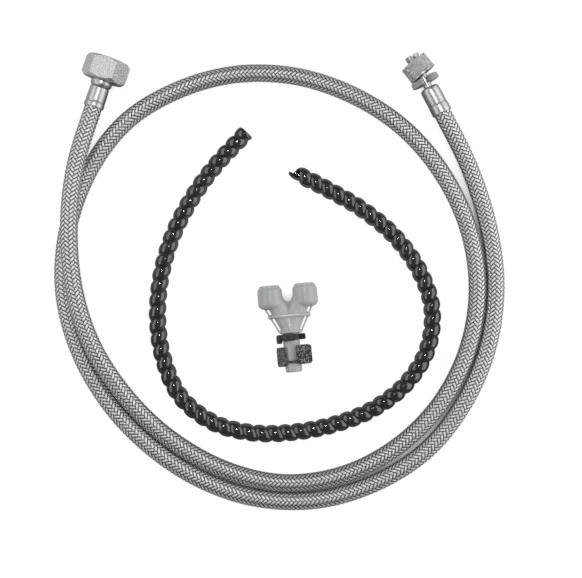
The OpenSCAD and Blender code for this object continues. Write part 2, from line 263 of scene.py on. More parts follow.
def turned_piece(name, profile, place, material, radius=0.25, sides=96):
    """A profile of (radius, height) pairs in millimetres, with soft corners, turned round the
    place's third axis."""
    outline = MM * soft_corners(profile, radius)
    angle = np.linspace(0, 2 * math.pi, sides, endpoint=False)[:, None]
    grid = np.stack([outline[:, 0] * np.cos(angle), outline[:, 0] * np.sin(angle),
                     outline[:, 1] + 0 * angle], axis=-1)
    faces = loop_faces(*grid.shape[:2])
    return outward(new_piece(name, placed(grid.reshape(-1, 3), place), [faces], material))


def surface_map(piece, name, values):
    """A UV map that gives each corner the value of its vertex."""
    corner = np.empty(len(piece.data.loops), dtype=np.int32)
    piece.data.loops.foreach_get("vertex_index", corner)
    layer = piece.data.uv_layers.new(name=name)
    layer.data.foreach_set("uv", values.reshape(-1, 2)[corner].astype(np.float32).ravel())


def outward(piece):
    """Turns a closed piece's faces outwards where its signed volume is negative."""
    mesh = piece.data
    mesh.calc_loop_triangles()
    corner = np.empty(3 * len(mesh.loop_triangles), dtype=np.int32)
    mesh.loop_triangles.foreach_get("vertices", corner)
    point = np.empty(3 * len(mesh.vertices))
    mesh.vertices.foreach_get("co", point)
    a, b, c = np.moveaxis(point.reshape(-1, 3)[corner.reshape(-1, 3)], 1, 0)
    if np.einsum("ij,ij->i", a, np.cross(b, c)).sum() < 0:
        mesh.flip_normals()
    return piece


def end_place(inner, mouth, forward=0.0, lean=0.0):
    """The frame at a ferrule's mouth: its third axis runs out along the fitting, its first axis
    points at the ground, and both may lean about the first."""
    along = unit(inner - mouth)
    axes = np.array([(0, 0, -1), np.cross(along, (0, 0, -1)), along])
    turn = math.radians(lean)
    lean_axes = np.array([(1, 0, 0), (0, math.cos(turn), math.sin(turn)),
                          (0, -math.sin(turn), math.cos(turn))]) @ axes
    return mouth + forward * along, lean_axes


LARGE_END = end_place(HOSE_ROUTE[0], HOSE_ROUTE[1])
SMALL_END = end_place(HOSE_ROUTE[-1], HOSE_ROUTE[-2])
KNURLED_PLACE = end_place(HOSE_ROUTE[-1], HOSE_ROUTE[-2], forward=38.6 * MM, lean=-11)


# ---- materials ---------------------------------------------------------------------------------

def add(tree, kind, **settings):
    """A new node with its settings."""
    made = tree.nodes.new(kind)
    for key, value in settings.items():
        setattr(made, key, value)
    return made


def feed(tree, target, source):
    """Links a socket, or sets a plain value, on a target socket."""
    if isinstance(source, bpy.types.NodeSocket):
        tree.links.new(source, target)
    else:
        target.default_value = source


def maths(tree, operation, first, second=0.0):
    """A Math node's result."""
    made = add(tree, "ShaderNodeMath", operation=operation)
    feed(tree, made.inputs[0], first)
    feed(tree, made.inputs[1], second)
    return made.outputs[0]


def fade(tree, value, none, full):
    """A smooth step from 0 to 1 as a value goes from one level to another."""
    made = add(tree, "ShaderNodeMapRange", interpolation_type="SMOOTHSTEP")
    feed(tree, made.inputs["Value"], value)
    made.inputs["From Min"].default_value = none
    made.inputs["From Max"].default_value = full
    return made.outputs["Result"]


def blend(tree, mask, low, high):
    """A colour that goes from low to high as a mask goes from 0 to 1."""
    made = add(tree, "ShaderNodeMix", data_type="RGBA")
    colour_a, colour_b = (plug for plug in made.inputs if plug.type == "RGBA")
    feed(tree, made.inputs["Factor"], mask)
    colour_a.default_value = (*low, 1.0)
    colour_b.default_value = (*high, 1.0)
    return next(plug for plug in made.outputs if plug.type == "RGBA")


def bump_map(tree, height, distance, strength=1.0):
    """A Bump node whose height is a value times a distance in millimetres."""
    made = add(tree, "ShaderNodeBump")
    made.inputs["Strength"].default_value = strength
    made.inputs["Distance"].default_value = distance * MM
    feed(tree, made.inputs["Height"], height)
    return made


def group_tree(name, inputs, outputs):
    """A node group with named inputs and outputs, and its two end nodes."""
    tree = bpy.data.node_groups.new(name, "ShaderNodeTree")
    for label, kind, value in inputs:
        socket = tree.interface.new_socket(name=label, in_out="INPUT", socket_type=kind)
        if value is not None:
            socket.default_value = value
    for label, kind in outputs:
        tree.interface.new_socket(name=label, in_out="OUTPUT", socket_type=kind)
    return tree, add(tree, "NodeGroupInput"), add(tree, "NodeGroupOutput")


def grain_group():
    """Grain: two sizes of noise as one height, and a slow stain mask."""
    tree, source, result = group_tree(
        "grain", [("Vector", "NodeSocketVector", None), ("Scale", "NodeSocketFloat", 900.0),
                  ("Stain Scale", "NodeSocketFloat", 60.0)],
        [("Height", "NodeSocketFloat"), ("Stain", "NodeSocketFloat")])
    fine = add(tree, "ShaderNodeTexNoise")
    fine.inputs["Detail"].default_value = 3.0
    slow = add(tree, "ShaderNodeTexNoise")
    slow.inputs["Detail"].default_value = 4.0
    feed(tree, fine.inputs["Vector"], source.outputs["Vector"])
    feed(tree, slow.inputs["Vector"], source.outputs["Vector"])
    feed(tree, fine.inputs["Scale"], source.outputs["Scale"])
    feed(tree, slow.inputs["Scale"], source.outputs["Stain Scale"])
    feed(tree, result.inputs["Height"], fine.outputs["Fac"])
    feed(tree, result.inputs["Stain"], slow.outputs["Fac"])
    return tree


def wire_group():
    """Wires: rounded ridges across a band, and a mask that falls to 0 at its two edges."""
    tree, source, result = group_tree(
        "wires", [("Across", "NodeSocketFloat", 0.5), ("Count", "NodeSocketFloat", 6.0)],
        [("Ridges", "NodeSocketFloat"), ("Middle", "NodeSocketFloat")])
    run = maths(tree, "MULTIPLY", source.outputs["Across"], source.outputs["Count"])
    swing = maths(tree, "SUBTRACT", maths(tree, "MULTIPLY", maths(tree, "FRACT", run), 2.0), 1.0)
    ridge = maths(tree, "SQRT", maths(tree, "SUBTRACT", 1.02, maths(tree, "MULTIPLY", swing,
                                                                   swing)))
    edge = maths(tree, "SUBTRACT", maths(tree, "MULTIPLY", source.outputs["Across"], 2.0), 1.0)
    middle = fade(tree, maths(tree, "ABSOLUTE", edge), 0.92, 0.42)
    feed(tree, result.inputs["Ridges"], ridge)
    feed(tree, result.inputs["Middle"], middle)
    return tree


def shared_group(name, maker):
    """The named group, made once."""
    return bpy.data.node_groups.get(name) or maker()


def plain_material(name, base, roughness, metallic=0.0, **sockets):
    """A material with a Principled shader, its tree and the shader."""
    made = bpy.data.materials.new(name)
    made.use_nodes = True
    shader = made.node_tree.nodes["Principled BSDF"]
    shader.inputs["Base Color"].default_value = (*base, 1.0)
    shader.inputs["Roughness"].default_value = roughness
    shader.inputs["Metallic"].default_value = metallic
    for label, value in sockets.items():
        shader.inputs[label.replace("_", " ")].default_value = value
    return made, made.node_tree, shader


def tint(tree, base, low, high, mask):
    """A colour that goes from low to high times the base as a mask goes from 0.3 to 0.7."""
    ramp = add(tree, "ShaderNodeValToRGB")
    ramp.color_ramp.elements[0].position = 0.3
    ramp.color_ramp.elements[1].position = 0.7
    ramp.color_ramp.elements[0].color = (*(c * low for c in base), 1.0)
    ramp.color_ramp.elements[1].color = (*(min(1.0, c * high) for c in base), 1.0)
    feed(tree, ramp.inputs["Fac"], mask)
    return ramp.outputs["Color"]


def grained_material(name, base, roughness, metallic=0.0, scale=900.0, depth=0.05, stain=60.0,
                     spread=0.08, rough_spread=0.1, **sockets):
    """A surface with fine grain in its relief, and slow changes of tone and gloss."""
    made, tree, shader = plain_material(name, base, roughness, metallic, **sockets)
    place = add(tree, "ShaderNodeTexCoord")
    grain = add(tree, "ShaderNodeGroup", node_tree=shared_group("grain", grain_group))
    feed(tree, grain.inputs["Vector"], place.outputs["Object"])
    grain.inputs["Scale"].default_value = scale
    grain.inputs["Stain Scale"].default_value = stain
    bump = bump_map(tree, grain.outputs["Height"], depth)
    feed(tree, shader.inputs["Normal"], bump.outputs["Normal"])
    feed(tree, shader.inputs["Base Color"],
         tint(tree, base, 1 - spread, 1 + spread, grain.outputs["Stain"]))
    gloss = maths(tree, "MULTIPLY_ADD", grain.outputs["Stain"], rough_spread)
    gloss.node.inputs[2].default_value = roughness - rough_spread / 2
    feed(tree, shader.inputs["Roughness"], gloss)
    return made


def braid_material(base, wires):
    """Woven steel: wire ridges along each band, and painted shade that darkens the colour at the
    band's edges and where it dives under, from the weave map."""
    made, tree, shader = plain_material("woven_steel", base, 0.58, 1.0)
    weave = add(tree, "ShaderNodeUVMap", uv_map="weave")
    split = add(tree, "ShaderNodeSeparateXYZ")
    feed(tree, split.inputs[0], weave.outputs["UV"])
    wire = add(tree, "ShaderNodeGroup", node_tree=shared_group("wires", wire_group))
    feed(tree, wire.inputs["Across"], split.outputs["X"])
    wire.inputs["Count"].default_value = wires
    bump = bump_map(tree, wire.outputs["Ridges"], 0.08, 0.5)
    feed(tree, shader.inputs["Normal"], bump.outputs["Normal"])
    from_middle = maths(tree, "ABSOLUTE", maths(tree, "SUBTRACT", split.outputs["Y"], 1.0))
    # painted shade: the colour falls to a near-black shade at the band's edges and at the ends of
    # its float
    unshaded = maths(tree, "MULTIPLY", wire.outputs["Middle"], fade(tree, from_middle, 1.02, 0.7))
    crevice_shade = tuple(0.05 * c for c in base)
    feed(tree, shader.inputs["Base Color"], blend(tree, unshaded, crevice_shade, base))
    return made


def rubber_material():
    return grained_material("black_rubber", (0.02, 0.02, 0.02), 0.6, depth=0.03)


def plate_material(name="nickel_plate", roughness=0.4, depth=0.03, scale=700.0, **grain):
    base = tuple(bpy.context.scene.hose_kit_fittings.plate)
    return grained_material(name, base, roughness, 1.0, scale=scale, depth=depth, **grain)


def dress(material, *nodes):
    """Gives CAD nodes that stay showing a material."""
    for name in nodes:
        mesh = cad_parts[name].data
        mesh.materials.clear()
        mesh.materials.append(material)


# ---- hose --------------------------------------------------------------------------------------

def hollow_hose(name, curve, outer, inner, sides, material):
    """A hollow round tube along a curve: rings out along the outer wall and back along the
    inner one, which close into one loop."""
    run = run_along(curve)
    distance = np.concatenate([run, run[::-1]])[:, None]
    radius = np.repeat([outer, inner], len(run))[:, None]
    angle = np.linspace(0, 2 * math.pi, sides, endpoint=False)[None, :]
    grid = wound_points(curve, distance + 0 * angle, angle + 0 * distance, radius + 0 * angle)
    faces = loop_faces(*grid.shape[:2])
    return outward(new_piece(name, grid.reshape(-1, 3), [faces], material))


BAND_CUTS = np.array([0.0, 0.13, 0.5, 0.87, 1.0])


def braid_lattice(step, carriers):
    """The place (u, v) of each lattice point, in band widths, on rows across the hose. A row
    holds the points whose two step numbers have one sum, and they differ by two from point to
    point, so that the lattice closes round the hose."""
    cuts = len(BAND_CUTS) - 1
    row = step[:, None]
    across = 2 * np.arange(carriers * cuts)[None, :] + row % 2
    u_step, v_step = (row + across) // 2, (row - across) // 2
    u = u_step // cuts + BAND_CUTS[u_step % cuts]
    v = v_step // cuts + BAND_CUTS[v_step % cuts]
    return u, v, u_step, v_step


def band_height(along, across):
    """Height of the bands that run along one lattice direction: each rides over two crossing
    bands and dives under two, as a sine of period four, and its back is crowned."""
    low, high = np.ceil(across) - 1, np.floor(across)
    ride = 0.5 * (np.sin(np.pi / 2 * (along - low)) + np.sin(np.pi / 2 * (along - high)))
    crown = np.abs(2 * (across - high) - 1) ** 3
    return 0.2 * ride - 0.26 * crown


def braid_sleeve(name, curve, start, first, last, kit, material):
    """A closed sleeve of woven bands between two lattice rows. Bands run along u and along v,
    the higher of the two shows, and u plus v runs along the hose and u minus v round it."""
    step = np.arange(first, last + 1)
    u, v, u_step, v_step = braid_lattice(step, kit.carriers)
    height = np.maximum(band_height(u, v), band_height(v - 1, u))
    radius = np.maximum(kit.outer_radius + MM * (height - 0.2), kit.liner_radius + 0.05 * MM)
    distance = start + (u + v) * kit.pitch / 2
    angle = (u - v) * math.pi / kit.carriers
    outer = wound_points(curve, distance, angle, radius)
    rows, columns = u.shape
    rings = max(2, int((distance[-1].mean() - distance[0].mean()) / (4 * MM)))
    t = np.linspace(0, 1, rings)[:, None]
    inner = wound_points(curve, (1 - t) * distance[0] + t * distance[-1],
                         (1 - t) * angle[0] + t * angle[-1],
                         np.full((rings, columns), kit.liner_radius + 0.02 * MM))
    k = np.arange(columns)[None, :]
    row = np.arange(rows - 2)[:, None]
    right = (k + step[:-2, None] % 2) % columns
    diamonds = np.stack([row * columns + k, (row + 1) * columns + right,
                         (row + 2) * columns + k, (row + 1) * columns + (right - 1) % columns],
                        axis=-1).reshape(-1, 4)
    wall = loop_faces(rings, columns, join_rows=False)[:, ::-1] + rows * columns
    k = np.arange(columns)
    nxt = (k + 1) % columns
    inside, far = rows * columns, rows * columns + (rings - 1) * columns
    low = np.stack([inside + k, inside + nxt, nxt, columns + (k + first % 2) % columns, k],
                   axis=-1)
    top, under = (rows - 1) * columns, (rows - 2) * columns
    high = np.stack([far + k, top + k, under + (k + last % 2) % columns, top + nxt, far + nxt],
                    axis=-1)
    points = np.concatenate([outer.reshape(-1, 3), inner.reshape(-1, 3)])
    piece = new_piece(name, points, [diamonds, wall, low, high], material)
    weave_map(piece, u_step[:-2], v_step[:-2])
    return piece


def weave_map(piece, u_step, v_step):
    """UV map of each lattice face: x goes 0 to 1 across the band that shows there, and y goes
    0 to 2 along its float. Bands along u show where u minus v is 0 or 1 in each four cells."""
    cuts = len(BAND_CUTS) - 1
    u_cell, v_cell = u_step // cuts, v_step // cuts
    u = np.stack([BAND_CUTS[u_step % cuts + k] for k in (0, 1, 1, 0)], axis=-1)
    v = np.stack([BAND_CUTS[v_step % cuts + k] for k in (0, 0, 1, 1)], axis=-1)
    along_u = ((u_cell - v_cell) % 4 < 2)[..., None]
    across = np.where(along_u, v, u)
    along = np.where(along_u, u + ((u_cell - v_cell) % 4)[..., None],
                     v + ((v_cell - u_cell - 1) % 4)[..., None])
    uv = np.zeros((len(piece.data.loops), 2), dtype=np.float32)
    woven = np.stack([across, along], axis=-1).reshape(-1, 2)
    uv[:len(woven)] = woven
    layer = piece.data.uv_layers.new(name="weave")
    layer.data.foreach_set("uv", uv.ravel())


class HOSEKIT_OT_hose(bpy.types.Operator):
    """Makes the rubber liner, which rides on the hose's body, and the braid over it in sleeves"""
    bl_idname = "hosekit.hose"
    bl_label = "Braided Hose"

    def execute(self, context):
        kit = context.scene.hose_kit_braid
        curve = smooth_route(HOSE_ROUTE, 12)
        liner = hollow_hose("hose_core", curve, kit.liner_radius, kit.liner_bore, 24,
                            rubber_material())
        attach(liner, "hose")
        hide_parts("hose_liner")
        steel = braid_material(tuple(kit.steel), kit.wires)
        sleeve_count, tuck, cycle = 3, 1.5 * MM, 2 * (len(BAND_CUTS) - 1)
        row_length = kit.pitch / cycle
        rows = int((run_along(curve)[-1] - 2 * tuck) / row_length) // cycle * cycle
        cuts = np.linspace(0, rows, sleeve_count + 1).astype(int) // cycle * cycle
        for number, (first, last) in enumerate(zip(cuts[:-1], cuts[1:])):
            first -= 1 if number else 0
            sleeve = braid_sleeve(f"braid_{number + 1}", curve, tuck, first, last, kit, steel)
            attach(sleeve, "hose")
            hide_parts("hose_braid")
        return {"FINISHED"}


# ---- spiral guard ------------------------------------------------------------------------------

def guard_strip(kit, curve, material):
    """One closed strip wound right-handed along a curve. Its back falls from its middle by the
    2.5th power of the way across, its belly is level, and its middle moves one pitch along for
    each turn round, plus a slack that comes in as a smooth step along the first bend. At the
    first end everything is cut off square at the curve's start with a rounded rim, where the
    strip's outer half stays level, and over the last third of a turn the strip shrinks towards
    the axis, again as a smooth step, to a point."""
    point_turns, point_outer, point_inner = 0.36, 0.58, 0.25
    free_turns, free_fade = 0.42, 0.16
    slack_from, slack_run = 64 * MM, 290 * MM
    rim_length, rim_drop = 2.6 * MM, 1.1 * MM
    end_angle = math.radians(33)
    pitch = (run_along(curve)[-1] - kit.slack) / kit.turns
    depth = kit.outer_radius - kit.groove_radius

    def rise(across):
        return kit.outer_radius - depth * np.abs(across) ** 2.5

    turn = np.linspace(-0.49, kit.turns - 0.5, int(34 * kit.turns))[:, None]
    back = np.linspace(-0.99, 0.99, 15)[None, :]
    cut = np.clip(-2 * turn, -0.99, 0.99)
    outer = np.where(back < cut, np.minimum(rise(back), rise(cut)), rise(back))
    level = kit.outer_radius - depth * np.clip((cut - back) / np.maximum(cut + 1, 0.02), 0, 1)
    free = np.where((turn >= 0) & (back < 0),
                    1 - smooth_step((turn - free_turns) / free_fade), 0)
    outer = outer + free * (level - outer)
    belly = np.linspace(0.97, -0.97, 5)[None, :]
    shrink = smooth_step((turn - turn[-1]) / point_turns + 1)
    radius = np.hstack([outer * (1 - (1 - point_outer) * shrink),
                        kit.inner_radius * (1 - (1 - point_inner) * shrink) + 0 * belly])
    across = np.hstack([back, belly]) + 0 * turn
    distance = np.clip((turn + across / 2) * pitch, 0, None)
    distance = distance + kit.slack * smooth_step((distance - slack_from) / slack_run)
    rim = np.clip(1 - distance / rim_length, 0, 1)
    radius = np.where(radius > kit.inner_radius, radius - rim_drop * rim ** 2, radius)
    angle = 2 * math.pi * (turn - turn[-1]) + end_angle + 0 * across
    grid = wound_points(curve, distance, angle, radius)
    strip = outward(new_piece("guard_strip", grid.reshape(-1, 3), capped_faces(*across.shape),
                              material))
    strip.data.set_sharp_from_angle(angle=math.radians(50))
    surface_map(strip, "strip", np.stack([across / 2 + 0.5, turn + 0 * across], axis=-1))
    return strip


def drawn_material(base):
    """Glossy drawn plastic: faint lines along the strip over a fine grain."""
    made = grained_material("guard_plastic", base, 0.12, scale=1500.0, depth=0.012, spread=0.15,
                            rough_spread=0.08, IOR=1.9)
    tree = made.node_tree
    shader = tree.nodes["Principled BSDF"]
    place = add(tree, "ShaderNodeUVMap", uv_map="strip")
    split = add(tree, "ShaderNodeSeparateXYZ")
    feed(tree, split.inputs[0], place.outputs["UV"])
    line = add(tree, "ShaderNodeGroup", node_tree=shared_group("wires", wire_group))
    feed(tree, line.inputs["Across"], split.outputs["X"])
    line.inputs["Count"].default_value = 11.0
    bump = bump_map(tree, line.outputs["Ridges"], 0.05, 0.25)
    feed(tree, bump.inputs["Normal"], shader.inputs["Normal"].links[0].from_socket)
    feed(tree, shader.inputs["Normal"], bump.outputs["Normal"])
    return made


class HOSEKIT_OT_guard(bpy.types.Operator):
    """Winds the guard's strip along its route"""
    bl_idname = "hosekit.guard"
    bl_label = "Spiral Guard"

    def execute(self, context):
        kit = context.scene.hose_kit_guard
        curve = smooth_route(GUARD_ROUTE, 12)
        strip = guard_strip(kit, curve, drawn_material(kit.plastic))
        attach(strip, "spiral_guard")
        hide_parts("spiral_guard")
        return {"FINISHED"}


# ---- fittings ----------------------------------------------------------------------------------

def hexagon_nut(kit, material):
    """A hexagon nut: round the axis the outline's radius is half the flats over the cosine of
    the angle from the flat's middle, and both ends are cut by a cone that starts just inside
    the flats. The bore is stepped: hole, relief behind the thread, thread and mouth."""
    side_steps, nut_from = 12, 21 * MM
    hole, relief, thread = 8.45 * MM, 12.6 * MM, 12.06 * MM
    wall, thread_from, bevel = 3.5 * MM, 8.8 * MM, 0.8 * MM
    turn = np.arange(6 * side_steps) / side_steps
    from_flat = (turn % 1 - 0.5) * math.pi / 3
    angle = (turn * math.pi / 3 - math.pi / 6)[:, None]
    half, high = kit.across_flats / 2, kit.nut_length
    radius = half / np.cos(from_flat)
    corner, face = half / math.cos(math.pi / 6), half - 0.6 * MM
    cone = 2.3 * MM * (radius - face) / (corner - face)
    outline = [(hole, 0), (face, 0), (radius, cone), (radius, high - cone), (face, high),
               (thread + bevel, high), (thread, high - bevel), (thread, thread_from),
               (relief, thread_from), (relief, wall), (hole, wall)]
    r, z = (np.stack([pair[k] + 0 * radius for pair in outline], axis=-1) for k in (0, 1))
    grid = np.stack([r * np.cos(angle), r * np.sin(angle), z + nut_from], axis=-1)
    faces = loop_faces(*grid.shape[:2])
    nut = outward(new_piece("union_nut", placed(grid.reshape(-1, 3), LARGE_END), [faces],
                            material))
    soften = nut.modifiers.new("soft_edges", "BEVEL")
    soften.width = 0.35 * MM
    soften.segments = 3
    soften.limit_method = "ANGLE"
    soften.angle_limit = math.radians(24)
    soften.harden_normals = True
    return nut


class HOSEKIT_OT_large_end(bpy.types.Operator):
    """Makes the large ferrule, its insert and the hexagon nut, and dresses the washer"""
    bl_idname = "hosekit.large_end"
    bl_label = "Hexagon Nut End"

    def execute(self, context):
        kit = context.scene.hose_kit_fittings
        plate = plate_material()
        ferrule = turned_piece("large_sleeve", [
            (6.9, 0), (7.6, 0), (7.75, 0.4), (7.7, 3.2), (7.25, 3.5), (7.25, 4.1), (7.55, 4.5),
            (7.3, 14.6), (7.0, 15.5), (5.6, 15.6), (5.6, 14.9), (6.9, 14.9)], LARGE_END, plate)
        insert = turned_piece("large_insert", [
            (3.6, 0.6), (4.2, 0.6), (4.4, 1.4), (4.78, 13.4), (4.4, 14.35), (5.5, 14.35),
            (5.5, 15.65), (6.3, 15.65), (7.6, 16.4), (8.15, 17.9), (8.15, 20.2), (7.9, 20.9),
            (8.0, 24.6), (11.6, 24.6), (11.6, 27.1), (3.6, 27.1)], LARGE_END, plate)
        cast = grained_material("cast_nickel", (0.93, 0.93, 0.92), 0.52, 1.0, scale=1000.0,
                                depth=0.5, stain=1300.0, spread=0.38)
        nut = hexagon_nut(kit, cast)
        for piece, node, body, finish in (
                (ferrule, "large_ferrule", "hose", "fitting"),
                (insert, "large_tail", "hose", "fitting"),
                (nut, "large_nut", "large_nut", "nut")):
            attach(piece, body)
            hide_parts(node)
        dress(rubber_material(), "nut_washer")
        return {"FINISHED"}


def knurled_shell(kit, material):
    """A round nut whose side carries a diamond knurl: its radius drops by the larger of two
    triangle waves that wind opposite ways, and fades out at the plain rims."""
    sides, rows = 8 * kit.knurl_count, 61
    cut_depth, knurl_lean = 0.65 * MM, math.radians(30)
    hole, relief, thread = 5.1 * MM, 8.2 * MM, 7.48 * MM
    wall, thread_from, bevel = 2.2 * MM, -1 * MM, 0.5 * MM
    angle = np.linspace(0, 2 * math.pi, sides, endpoint=False)[:, None]
    rim, half = kit.knurl_radius, kit.knurl_length / 2
    z = np.linspace(-half + 1.1 * MM, half - bevel, rows)[None, :]
    lean = z / (rim * math.tan(knurl_lean))
    count = kit.knurl_count / (2 * math.pi)
    wave = [np.abs(2 * ((count * (angle + way * lean)) % 1) - 1) for way in (-1, 1)]
    before = [(hole, -half), (rim - bevel, -half), (rim, -half + 0.4 * MM),
              (rim, -half + 0.9 * MM)]
    after = [(rim - bevel, half), (8.1 * MM, half), (thread, half - 0.6 * MM),
             (thread, thread_from), (relief, thread_from), (relief, -half + wall),
             (hole, -half + wall)]
    first, last = (np.array(part).T[:, None, :] + 0 * angle for part in (before, after))
    r = np.hstack([first[0], rim - cut_depth * np.maximum(*wave), last[0]])
    h = np.hstack([first[1], z + 0 * angle, last[1]])
    grid = np.stack([r * np.cos(angle), r * np.sin(angle), h], axis=-1)
    faces = loop_faces(*grid.shape[:2])
    nut = outward(new_piece("knurled_shell", placed(grid.reshape(-1, 3), KNURLED_PLACE),
                            [faces], material))
    nut.data.set_sharp_from_angle(angle=math.radians(40))
    return nut


def ribbed_ring(material):
    """An open ring with fine ribs round its rim: the rim's radius is a cosine of the angle,
    and the ring stops either side of its gap."""
    ring_from, crevice_shade, wide, inner, middle, reach = 25.3, 5.5, 4.6, 4.0, 7.5, 11.0
    sides, ribs = 240, 64
    half_gap = math.asin(crevice_shade / 2 / middle)
    angle = np.linspace(math.pi + half_gap, 3 * math.pi - half_gap, sides)[:, None]
    rib = reach - 0.35 + 0.3 * np.cos(ribs * angle)
    one = np.ones_like(angle)
    r = np.hstack([inner * one, (reach - 1.1) * one, rib, rib, (reach - 1.1) * one, inner * one])
    h = np.hstack([0 * one, 0 * one, 0.5 * one, (wide - 0.5) * one, wide * one, wide * one])
    grid = MM * np.stack([r * np.cos(angle), r * np.sin(angle), h + ring_from], axis=-1)
    ring = outward(new_piece("stem_ring", placed(grid.reshape(-1, 3), SMALL_END),
                             capped_faces(*r.shape), material))
    ring.data.set_sharp_from_angle(angle=math.radians(35))
    return ring


class HOSEKIT_OT_small_end(bpy.types.Operator):
    """Makes the small ferrule, the knurled nut and the ribbed ring, and dresses the insert"""
    bl_idname = "hosekit.small_end"
    bl_label = "Knurled Nut End"

    def execute(self, context):
        kit = context.scene.hose_kit_fittings
        plate = plate_material("bright_nickel", 0.38)
        ferrule = turned_piece("small_sleeve", [
            (6.9, 0), (7.65, 0), (7.75, 0.6), (7.5, 7), (7.15, 7.2), (7.15, 7.7), (7.4, 7.9),
            (7.35, 19.5), (7.0, 21.0), (5.6, 21.9), (3.4, 21.9), (3.4, 20.4), (6.9, 20.4)],
            SMALL_END, plate)
        knurled = grained_material("knurled_nickel", (0.78, 0.78, 0.77), 0.34, 1.0, scale=700.0)
        nut = knurled_shell(kit, knurled)
        grey = grained_material("ring_plastic", (0.48, 0.48, 0.48), 0.42, scale=800.0, depth=0.05)
        ring = ribbed_ring(grey)
        for piece, node, body, finish in (
                (ferrule, "small_ferrule", "hose", "fitting"),
                (nut, "knurled_nut", "knurled_nut", "nut"),
                (ring, "stem_clip_ring", "stem_clip", "stem_clip")):
            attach(piece, body)
            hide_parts(node)
        dress(plate, "small_tail")
        dress(rubber_material(), "tip_seal")
        return {"FINISHED"}


# ---- Y-piece -----------------------------------------------------------------------------------

def softened_copy(name, node, voxel, passes, material):
    """A copy of a CAD node, rebuilt on a voxel grid and smoothed, so that its edges and inner
    corners are round as on a moulding."""
    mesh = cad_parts[node].data.copy()
    mesh.name = name
    piece = bpy.data.objects.new(name, mesh)
    bpy.context.scene.collection.objects.link(piece)
    weld = piece.modifiers.new("weld", "WELD")
    weld.merge_threshold = 0.001 * MM
    rebuild = piece.modifiers.new("rebuild", "REMESH")
    rebuild.mode = "VOXEL"
    rebuild.voxel_size = voxel
    rebuild.use_smooth_shade = True
    ease = piece.modifiers.new("ease", "SMOOTH")
    ease.factor = 0.5
    ease.iterations = passes
    shape = bpy.data.meshes.new_from_object(
        piece.evaluated_get(bpy.context.evaluated_depsgraph_get()))
    piece.modifiers.clear()
    piece.data = shape
    shape.materials.clear()
    shape.materials.append(material)
    return piece


class HOSEKIT_OT_y_piece(bpy.types.Operator):
    """Softens the moulded Y-piece and dresses what is in its sockets"""
    bl_idname = "hosekit.y_piece"
    bl_label = "Y-piece"

    def execute(self, context):
        kit = context.scene.hose_kit_y_piece
        cloudy = grained_material("cloudy_plastic", tuple(kit.body), 0.2, scale=350.0,
                                  depth=0.02, spread=0.04, Subsurface_Weight=0.25,
                                  Subsurface_Scale=0.003)
        body = softened_copy("y_moulding", "y_body", kit.voxel, 6, cloudy)
        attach(body, "y_piece")
        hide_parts("y_body")
        dress(cloudy, "socket_cap_left", "socket_cap_right")
        dress(plate_material("grip_steel", 0.25), "grip_ring_left", "grip_ring_right")
        dress(rubber_material(), "o_ring_left", "o_ring_right")
        return {"FINISHED"}


def speckled_material(base, speck):
    """Rough dark plastic with small raised light specks, one to each cell of a cell pattern."""
    made, tree, shader = plain_material("clip_plastic", base, 0.4)
    place = add(tree, "ShaderNodeTexCoord")
    cells = add(tree, "ShaderNodeTexVoronoi")
    feed(tree, cells.inputs["Vector"], place.outputs["Object"])
    cells.inputs["Scale"].default_value = 760.0
    mask = add(tree, "ShaderNodeMapRange")
    feed(tree, mask.inputs["Value"], cells.outputs["Distance"])
    mask.inputs["From Min"].default_value = 0.12
    mask.inputs["From Max"].default_value = 0.5
    mask.inputs["To Min"].default_value = 1.0
    mask.inputs["To Max"].default_value = 0.0
    feed(tree, shader.inputs["Base Color"], blend(tree, mask.outputs["Result"], base, speck))
    bump = bump_map(tree, mask.outputs["Result"], 0.3, 0.9)
    feed(tree, shader.inputs["Normal"], bump.outputs["Normal"])
    return made


class HOSEKIT_OT_clips(bpy.types.Operator):
    """Dresses the round clip and the locking clip"""
    bl_idname = "hosekit.clips"
    bl_label = "Clips"

    def execute(self, context):
        kit = context.scene.hose_kit_y_piece
        speckled = speckled_material(tuple(kit.clip), tuple(kit.speck))
        dress(speckled, "y_lock_clip")
        dark = grained_material("snap_ring_plastic", tuple(kit.clip), 0.35, scale=700.0,
                                depth=0.15, spread=0.3, rough_spread=0.2)
        dress(dark, "y_clip_ring")
        return {"FINISHED"}


# ---- stage -------------------------------------------------------------------------------------

def area_light(name, place, target, size, strength):
    """A rectangular light that faces a target; its strength is the brightness of its face."""
    data = bpy.data.lights.new(name, "AREA")
    data.shape = "RECTANGLE"
    data.size, data.size_y = size
    data.energy = strength * math.pi * size[0] * size[1]
    lamp = bpy.data.objects.new(name, data)
    away = unit(np.array(place, dtype=float) - np.array(target, dtype=float))
    right = unit(np.cross((0.0, 1.0, 0.001), away))
    up = np.cross(away, right)
    lamp.matrix_world = Matrix([*np.column_stack([right, up, away, place]), (0, 0, 0, 1)])
    bpy.context.scene.collection.objects.link(lamp)
    return lamp


